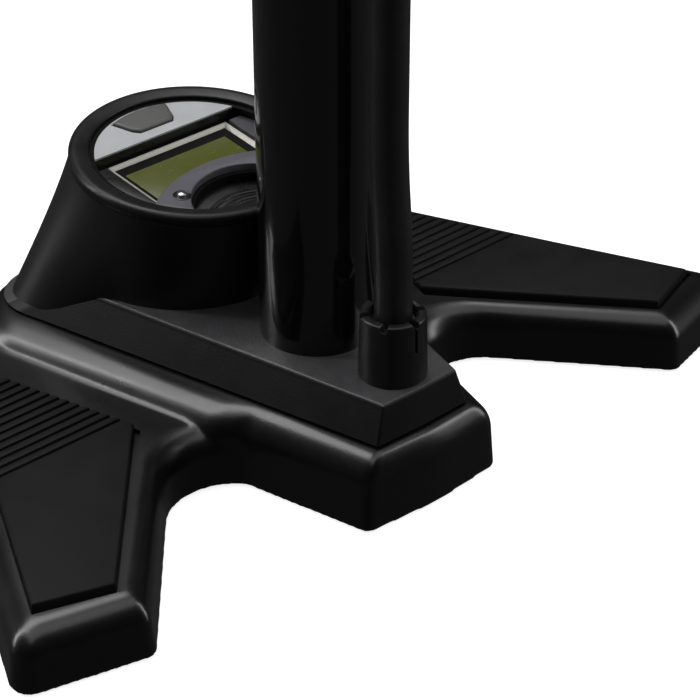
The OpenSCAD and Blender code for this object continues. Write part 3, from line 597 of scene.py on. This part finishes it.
on_face = Matrix.Translation((0, GAUGE_Y, FACE_Z)) @ Matrix.Rotation(math.radians(TILT), 4, "X")
bezel_profile = [(DIAL_R, -10.5), (DIAL_R + 1.5, -10.5), (DIAL_R + 1.5, -3.9), (GAUGE_R - 0.15, -3.9),
                 (GAUGE_R, -3.7)]
for k in range(8):
    t = math.radians(12 * k)
    bezel_profile.append((GAUGE_R - 1.9 + 1.9 * math.cos(t), -1.9 + 1.9 * math.sin(t)))
bezel_profile += [(GAUGE_R - 3.2, -0.12), (DIAL_R + 2.6, -0.6), (DIAL_R + 1.6, -0.8), (DIAL_R + 1.3, -0.95),
                  (DIAL_R + 1.15, -1.25), (DIAL_R + 1.15, -2.6), (DIAL_R, -2.75)]
bezel = Shape().lathe(bezel_profile, 180, on_face, closed=True)
piece("bezel_ring", bezel, M["bezel"], "stand", ["gauge_bezel"], angle=40)
# The gasket in the gap between the bezel and the dial takes the near-black of painted shade.
gasket_profile = [(-0.9, -2.85), (-0.05, -2.85), (0.05, -2.7), (1.1, -2.55), (1.1, -1.25), (0.95, -1.2),
                  (0.8, -2.2), (-0.7, -2.25), (-0.9, -2.4)]
gasket = Shape().lathe([(DIAL_R + r, z) for r, z in gasket_profile], 160, on_face, closed=True)
piece("dial_gasket", gasket, M["painted_shade"], "stand", angle=40)


# ---------------------------------------------------------------- dial
def arc(cx, cy, r, a0, a1, n):
    return [(cx + r * math.cos(math.radians(a0 + (a1 - a0) * k / n)),
             cy + r * math.sin(math.radians(a0 + (a1 - a0) * k / n))) for k in range(n + 1)]


BUTTON = [(-6.8, 21.3), (6.8, 21.3), (8.6, 23.3), (11.4, 30.9), (6, 32.4), (0, 33), (-6, 32.4), (-11.4, 30.9),
          (-8.6, 23.3)]


def chord(r, y):
    return math.degrees(math.asin(y / r))


dial = Shape()
disc = arc(0, 0, DIAL_R - 0.1, 0, 357, 119)
dial.prism(disc, -10.9, DIAL_FLOOR, 0.1, on_face)
riser_r = DIAL_R - 0.15
segment = arc(0, 0, riser_r, chord(riser_r, PANEL_Y), 180 - chord(riser_r, PANEL_Y), 60)
dial.prism(segment, DIAL_BASE, -2.6, 0.1, on_face)
# ribbed dark bay in front of the bridge
for k in range(4):
    r0 = 21.5 - 3.4 * k
    bay = arc(0, BAY_Y, r0, 30, 150, 40) + arc(0, BAY_Y, r0 - 1.9, 150, 30, 40)
    bay = [p for p in bay if math.hypot(*p) < DIAL_R - 0.6]
    if len(bay) > 20:
        dial.prism(bay, DIAL_BASE, -9.1, 0.3, on_face)
piece("dial_floor", dial, M["dial_black"], "stand", ["dial_plate"])

# The cheeks are one grey moulding: the left one takes the dial's black as painted shade.
for side, label, finish in ((1, "right", "dial_grey"), (-1, "left", "dial_black")):
    cheeks = Shape()
    r = DIAL_R - 0.3
    x0 = LCD_X + 0.9
    ang = math.degrees(math.acos(x0 / r))
    cheek = arc(0, 0, r, -ang + 2, min(ang, chord(r, PANEL_Y - 2.2)), 40)
    cheek += [(x0, cheek[-1][1]), (x0, cheek[0][1])]
    if side < 0:
        cheek = [(-x, y) for x, y in reversed(cheek)]
    cheeks.prism(cheek, DIAL_BASE, -5.2, 0.3, on_face)
    piece(label + "_dial_cheek", cheeks, M[finish], "stand")

sheet = Shape()
r = DIAL_R - 1.0
y0 = PANEL_Y + 0.05
border = arc(0, 0, r, chord(r, y0), 180 - chord(r, y0), 90)
window = moved_in(BUTTON, -0.5)
sheet_low, sheet_high = -2.7, -1.95


def half_sheet(side):
    """Right (side 1) or left (-1) half of the sheet: two halves meet on the centre line around the window."""
    on_right = [p for p in densified(window, 0.8) if p[0] >= -1e-9]
    around = sorted(on_right, key=lambda p: math.atan2(p[1] - WINDOW_Y, p[0]))
    edge = [p for p in border if p[0] >= 1e-6]
    pts = [(0, y0), (edge[0][0], y0)] + edge + [(0, r)]
    pts.append((0, max(y for _, y in around)))
    pts += [p for p in reversed(around) if p[0] > 1e-6]
    pts.append((0, min(y for _, y in around)))
    return pts if side > 0 else [(-x, y) for x, y in reversed(pts)]


for side in (1, -1):
    pts = half_sheet(side)
    clean = [p for i, p in enumerate(pts) if math.dist(p, pts[i - 1]) > 0.02]
    sheet.prism(clean, sheet_low, sheet_high, 0.0001, on_face, steps=1)
piece("dial_sheet", sheet, M["silver"], "stand", ["dial_panel"])

button = Shape()
cap = densified(BUTTON, 1.2)
rings = [at_z(cap, -5.6), at_z(cap, -1.6)]
for k in range(1, 7):
    t = math.pi / 2 * k / 6
    rings.append(at_z(moved_in(cap, 0.9 * (1 - math.cos(t))), -1.6 + 0.75 * math.sin(t)))
button.loft(rings, on_face)
button_stem = [(0.01, -10.2), (2, -10.2), (2, -5.5), (0.01, -5.5)]
button.lathe(button_stem, 24, on_face @ Matrix.Translation((0, BUTTON_Y, 0)))
piece("button_cap", button, M["button"], "button", ["mode_button"])


def frame_ring(x0, y0, x1, y1):
    return [(x0, y0), (x1, y0), (x1, y1), (x0, y1)]


lcd_frame = Shape()
levels = [(0.0, -9.4), (0.0, -6.2), (0.15, -6.0), (0.5, -6.0), (0.65, -6.1), (1.6, -7.3), (1.6, -9.4)]
lcd_frame.loft([at_z(frame_ring(-LCD_X + d, LCD_Y0 + d, LCD_X - d, LCD_Y1 - d), z) for d, z in levels],
               on_face, closed=True)
piece("display_frame", lcd_frame, M["lcd_frame"], "stand", ["lcd_bezel"], angle=30)

# The walls round the display take the near-black of painted shade, standing for the shade in the recess.
inner_frame = Shape()
mask_out = frame_ring(-LCD_X + 1.65, LCD_Y0 + 1.65, LCD_X - 1.65, LCD_Y1 - 1.65)
mask_in = frame_ring(-LCD_X + 3.8, LCD_Y0 + 2.4, LCD_X - 4.2, LCD_Y1 - 4.7)
inner_frame.loft([at_z(mask_out, -9.3), at_z(mask_out, -7.2), at_z(mask_in, -8.1), at_z(mask_in, -9.3)],
                 on_face, closed=True)
piece("display_recess", inner_frame, M["painted_shade"], "stand", angle=30)

display = Shape()
lcd_inset = 2.4
glass = frame_ring(-LCD_X + lcd_inset, LCD_Y0 + lcd_inset, LCD_X - lcd_inset, LCD_Y1 - lcd_inset)
display.prism(glass, -9.4, -8.15, 0.1, on_face)
piece("display_glass", display, M["lcd"], "stand", ["lcd_panel"])

arch = Shape()
R_OUT, R_IN, ARCH_R = 47.5, 22.0, DIAL_R - 0.35
c_out, c_in = -5.2 - R_OUT, -11.0 - R_IN


def meet(cy, rr):
    """Angle on a circle of radius rr about (0, cy), right side, where it meets the dial's edge."""
    y = (ARCH_R ** 2 - rr ** 2 + cy ** 2) / (2 * cy)
    return math.degrees(math.atan2(y - cy, math.sqrt(ARCH_R ** 2 - y ** 2)))


a_out, a_in = meet(c_out, R_OUT), meet(c_in, R_IN)
upper = arc(0, c_out, R_OUT, a_out, 180 - a_out, 60)
lower = arc(0, c_in, R_IN, 180 - a_in, a_in, 60)
left_rim = arc(0, 0, ARCH_R, math.degrees(math.atan2(upper[-1][1], upper[-1][0])) % 360,
               math.degrees(math.atan2(lower[0][1], lower[0][0])) % 360, 14)[1:-1]
right_rim = [(-x, y) for x, y in reversed(left_rim)]
arch.prism(upper + left_rim + lower + right_rim, -5.9, -3.2, 0.5, on_face)
piece("dial_bridge", arch, M["arch"], "stand", ["dial_arch"])

# A near-black wall under the bridge: painted shade below it, which also hides the display there.
bay_wall = Shape()
c_wall = c_in - 1.5
a_wall = meet(c_wall, R_IN)
wall = arc(0, c_wall, R_IN, 180 - a_wall, a_wall, 60)
bay_wall.prism([(0.985 * x, y) for x, y in upper + wall], -9.4, -5.95, 0.05, on_face)
piece("bay_wall", bay_wall, M["painted_shade"], "stand")

heads, wells = Shape(), Shape()
well_wall = [(2.3, -4.0), (3.05, -4.0), (3.05, -3.05), (2.75, -2.95), (2.3, -3.25)]
well_floor = [(0.01, -3.5), (2.6, -3.5), (2.6, -3.12), (0.01, -3.12)]
head_profile = [(0.01, -3.4), (1.6, -3.4), (1.6, -2.7), (1.4, -2.3), (0.85, -2.05), (0.01, -1.95)]
for side in (1, -1):
    spot = on_face @ Matrix.Translation((SCREW_X * side, SCREW_Y, 0))
    wells.lathe(well_wall, 36, spot, closed=True)
    wells.lathe(well_floor, 36, spot)
    heads.lathe(head_profile, 28, spot)
piece("screw_wells", wells, M["dial_black"], "stand")
piece("screw_heads", heads, M["steel"], "stand", ["dial_screws"])

# ---------------------------------------------------------------- barrel, cap, rod
barrel = Shape().lathe([(BARREL_R - 1.6, 16.7), (BARREL_R - 0.3, 16.7), (BARREL_R, 17.0), (BARREL_R, 300),
                        (BARREL_R, BARREL_TOP - 0.4), (BARREL_R - 0.4, BARREL_TOP),
                        (BARREL_R - 1.6, BARREL_TOP)], 160, closed=True)
piece("barrel_tube", barrel, M["barrel"], "stand", ["barrel"])

rod_top = BARREL_TOP + 40
rod = Shape().lathe([(ROD_R - 1.3, 34.6), (ROD_R - 0.3, 34.6), (ROD_R, 34.9), (ROD_R, rod_top - 0.3),
                     (ROD_R - 0.3, rod_top), (ROD_R - 1.3, rod_top)], 96, closed=True)
piece("rod_tube", rod, M["chrome"], "handle", ["piston_rod"])


# ---------------------------------------------------------------- hose
def hose_path():
    """Centre line: up from the collar, a lean towards the barrel, the loop, and down to the chuck."""
    pts = [(0, -HOSE_Y, FOOT_H + 30 + 3.5 * k) for k in range(11)]
    beta = 2 * math.atan2(HOSE_Y - UPPER_Y, LEAN_Z1 - LEAN_Z0)
    radius = (LEAN_Z1 - LEAN_Z0) / 2 / math.sin(beta)
    for k in range(1, 9):
        t = beta * k / 8
        pts.append((0, -HOSE_Y + radius * (1 - math.cos(t)), LEAN_Z0 + radius * math.sin(t)))
    for k in range(1, 9):
        t = beta * (1 - k / 8)
        pts.append((0, -UPPER_Y - radius * (1 - math.cos(t)), LEAN_Z1 - radius * math.sin(t)))
    pts += [(0, -UPPER_Y, LEAN_Z1 + (LOOP_Z - LEAN_Z1) * k / 40) for k in range(1, 41)]
    ux, uy = math.cos(LOOP_ANGLE), math.sin(LOOP_ANGLE)
    for k in range(1, 41):
        t = math.pi * k / 40
        d, z = LOOP_R * (1 - math.cos(t)), LOOP_Z + LOOP_R * math.sin(t)
        pts.append((d * ux, -UPPER_Y + d * uy, z))
    z1 = CHUCK_Z + 10.2
    pts += [(CHUCK_X, 0, LOOP_Z + (z1 - LOOP_Z) * k / 14) for k in range(1, 15)]
    return [Vector(p) for p in pts]


def sweep(path, radius, segs):
    """A round bar of the given radius along a path, without twist."""
    rings = []
    side = Vector((1, 0, 0))
    for i, p in enumerate(path):
        tangent = (path[min(i + 1, len(path) - 1)] - path[max(i - 1, 0)]).normalized()
        side = (side - tangent * side.dot(tangent)).normalized()
        other = tangent.cross(side)
        turns = [2 * math.pi * k / segs for k in range(segs)]
        rings.append([tuple(p + (side * math.cos(t) + other * math.sin(t)) * radius) for t in turns])
    return Shape().loft(rings)


piece("hose_run", sweep(hose_path(), HOSE_R, 48), M["hose"], "stand", ["hose"], angle=60)


# ---------------------------------------------------------------- collar nut
def notch(a, width=0.11):
    """0 in a notch of the collar's rim, 1 on a tooth. One notch faces the front."""
    off = abs(((a + math.pi / 2) / (2 * math.pi) * 6 + 0.5) % 1 - 0.5) / 6 * 2 * math.pi
    return step01(width * 0.7, width * 1.2, off)


def collar_wave(a, r, z):
    if z > COLLAR_Z1 - 2.4:
        z = z - (1 - notch(a)) * (z - (COLLAR_Z1 - 2.4)) * 0.9
    front = abs((a + math.pi / 2 + math.pi) % (2 * math.pi) - math.pi)
    if r > 9.6 and z > COLLAR_Z1 - 11 and z < COLLAR_Z1 - 0.5:
        r -= 1.1 * (1 - step01(0.03, 0.055, front))
    return r, z


collar_profile = [
    (HOSE_R + 0.1, FOOT_H + 28), (9.1, FOOT_H + 28), (9.1, DECK_Z + 0.1), (11.2, DECK_Z + 0.1),
    (11.22, DECK_Z + 1), (10.95, DECK_Z + 11), (10.93, COLLAR_Z1 - 11.1), (10.92, COLLAR_Z1 - 10.9),
    (10.75, COLLAR_Z1 - 3.3), (10.72, COLLAR_Z1 - 2.3), (10.7, COLLAR_Z1 - 0.6), (10.55, COLLAR_Z1 - 0.2),
    (10.2, COLLAR_Z1), (8.2, COLLAR_Z1), (7.8, COLLAR_Z1 - 0.2), (7.5, COLLAR_Z1 - 0.7),
    (7.2, COLLAR_Z1 - 3.3), (HOSE_R + 0.1, COLLAR_Z1 - 3.5)]
collar = Shape().lathe(collar_profile, 360, Matrix.Translation((0, -HOSE_Y, 0)), closed=True,
                       wave=collar_wave)
piece("collar_nut", collar, M["black"], "stand", ["hose_collar"], angle=40)

# ---------------------------------------------------------------- handle
grip_r = GRIP_D / 2


def across_x(profile, segs, flat=1.0):
    """Rings about the handle's axis from (x, radius) points; flat squeezes them front to back."""
    return [[(x, r * flat * math.cos(2 * math.pi * k / segs), HANDLE_Z + r * math.sin(2 * math.pi * k / segs))
             for k in range(segs)] for x, r in profile]


for side, label in ((1, "right"), (-1, "left")):
    profile = []
    x_end = HANDLE_W / 2 - 8
    n = 150
    for k in range(n + 1):
        u = k / n
        x = GRIP_X0 + (x_end - GRIP_X0) * u
        swell = grip_r - 1.2 + 1.3 * math.sin(math.pi * (0.15 + 0.75 * u)) ** 2
        pos = (x - GRIP_X0 - 6) / 5.5
        rib = 0.55 * step01(0.1, 0.3, 1 - abs((pos % 1) - 0.5) * 2) if 0 < pos < 14.5 else 0
        profile.append((x * side, swell + rib))
    profile = [(GRIP_X0 * side, 11.6)] + profile + [(x_end * side, 11.6)]
    grip = Shape().loft(across_x(profile, 72, 0.98), closed=True)
    piece(label + "_grip_sleeve", grip, M["grip"], "handle", [label + "_grip"], angle=50)

caps = Shape()
for side in (1, -1):
    x1 = HANDLE_W / 2
    profile = [(x1 - 7.8, 11.6), (x1 - 7.8, grip_r + 0.6), (x1 - 7.2, grip_r + 1.0), (x1 - 4, grip_r + 1.0)]
    for k in range(1, 7):
        t = math.pi / 2 * k / 6
        profile.append((x1 - 4 + 4 * math.sin(t), grip_r - 4 + 5 * math.cos(t)))
    profile += [(x1 - 0.5, grip_r - 6), (x1 - 0.8, 0.01), (x1 - 3, 0.01), (x1 - 4, 11.6)]
    caps.loft(across_x([(x * side, r) for x, r in profile], 64), closed=True)
piece("handle_ends", caps, M["black"], "handle", ["grip_caps"], angle=40)

# ---------------------------------------------------------------- stage, lights and camera
LIGHT_AIM = (0, 0, 0.05)
FLOOR_GLOW, ROOM_GLOW = 0.045, 0.017
FLOOR_HALF = 6
CAMERA_AT = (-0.4352, -0.5004, 0.4538 + FOOT_H * MM)
CAMERA_AIM = (0.00818, -0.00711, 0.02937 + FOOT_H * MM)


def area(name, azimuth, elevation, distance, size_x, size_y, power):
    """Adds a rectangular light that faces LIGHT_AIM. Azimuth 0 is in front (-Y), 90 is the +X side."""
    light = bpy.data.lights.new(name, "AREA")
    light.shape = "RECTANGLE"
    light.size, light.size_y, light.energy = size_x, size_y, power
    light.spread = math.radians(180)
    obj = bpy.data.objects.new(name, light)
    scene.collection.objects.link(obj)
    a, e = math.radians(azimuth), math.radians(elevation)
    centre = Vector(LIGHT_AIM)
    towards = Vector((math.sin(a) * math.cos(e), -math.cos(a) * math.cos(e), math.sin(e)))
    obj.location = centre + towards * distance
    obj.rotation_euler = (centre - obj.location).to_track_quat("-Z", "Y").to_euler()
    obj.visible_camera = False


# name, azimuth, elevation, distance, width, height, power; the camera stands at azimuth -41
area("top_box", -176, 63, 1.6, 1.4, 0.7, 11.5)
area("ceiling", 0, 89, 1.7, 2.2, 2.2, 18)
area("left_strip", -138, 25, 1.5, 0.14, 1.5, 10)
area("right_strip", 52, 22, 1.5, 0.25, 1.5, 8)

world = bpy.data.worlds.new("studio")
scene.world = world
world.use_nodes = True
nt = world.node_tree
nt.nodes.clear()
w_out = nt.nodes.new("ShaderNodeOutputWorld")
w_mix = nt.nodes.new("ShaderNodeMixShader")
w_seen = nt.nodes.new("ShaderNodeBackground")
w_dim = nt.nodes.new("ShaderNodeBackground")
w_path = nt.nodes.new("ShaderNodeLightPath")
w_seen.inputs[0].default_value = (1, 1, 1, 1)
w_seen.inputs[1].default_value = 1.0
w_dim.inputs[0].default_value = (1, 1, 1, 1)
# the pale floor's glow reaches surfaces from below, and little comes from the sides of the room
w_dir = nt.nodes.new("ShaderNodeTexCoord")
w_split = nt.nodes.new("ShaderNodeSeparateXYZ")
w_glow = nt.nodes.new("ShaderNodeMapRange")
w_glow.inputs["From Min"].default_value = -0.08
w_glow.inputs["From Max"].default_value = 0.02
w_glow.inputs["To Min"].default_value = FLOOR_GLOW
w_glow.inputs["To Max"].default_value = ROOM_GLOW
nt.links.new(w_dir.outputs["Generated"], w_split.inputs[0])
nt.links.new(w_split.outputs["Z"], w_glow.inputs["Value"])
nt.links.new(w_glow.outputs[0], w_dim.inputs[1])
nt.links.new(w_path.outputs["Is Camera Ray"], w_mix.inputs[0])
nt.links.new(w_dim.outputs[0], w_mix.inputs[1])
nt.links.new(w_seen.outputs[0], w_mix.inputs[2])
nt.links.new(w_mix.outputs[0], w_out.inputs[0])

floor_mesh = bpy.data.meshes.new("floor")
floor_corners = [(-1, -1), (1, -1), (1, 1), (-1, 1)]
floor_mesh.from_pydata([(x * FLOOR_HALF, y * FLOOR_HALF, 0) for x, y in floor_corners], [], [(0, 1, 2, 3)])
floor = bpy.data.objects.new("floor", floor_mesh)
scene.collection.objects.link(floor)
fm = bpy.data.materials.new("pale_floor")
fm.use_nodes = True
bsdf = fm.node_tree.nodes["Principled BSDF"]
bsdf.inputs["Base Color"].default_value = (0.5, 0.5, 0.5, 1)
bsdf.inputs["Roughness"].default_value = 0.9
bsdf.inputs["Specular IOR Level"].default_value = 0.0
bsdf.inputs["Emission Color"].default_value = (1, 1, 1, 1)
bsdf.inputs["Emission Strength"].default_value = 0.85
floor_mesh.materials.append(fm)
floor.visible_glossy = False
floor.visible_diffuse = False

cam_data = bpy.data.cameras.new("camera")
cam = bpy.data.objects.new("camera", cam_data)
scene.collection.objects.link(cam)
cam.location = CAMERA_AT
cam.rotation_euler = (Vector(CAMERA_AIM) - cam.location).to_track_quat("-Z", "Y").to_euler()
cam_data.sensor_width = 36.0
cam_data.lens = 121.68
cam_data.clip_start = 0.01
scene.camera = cam
scene.view_settings.view_transform = "Standard"
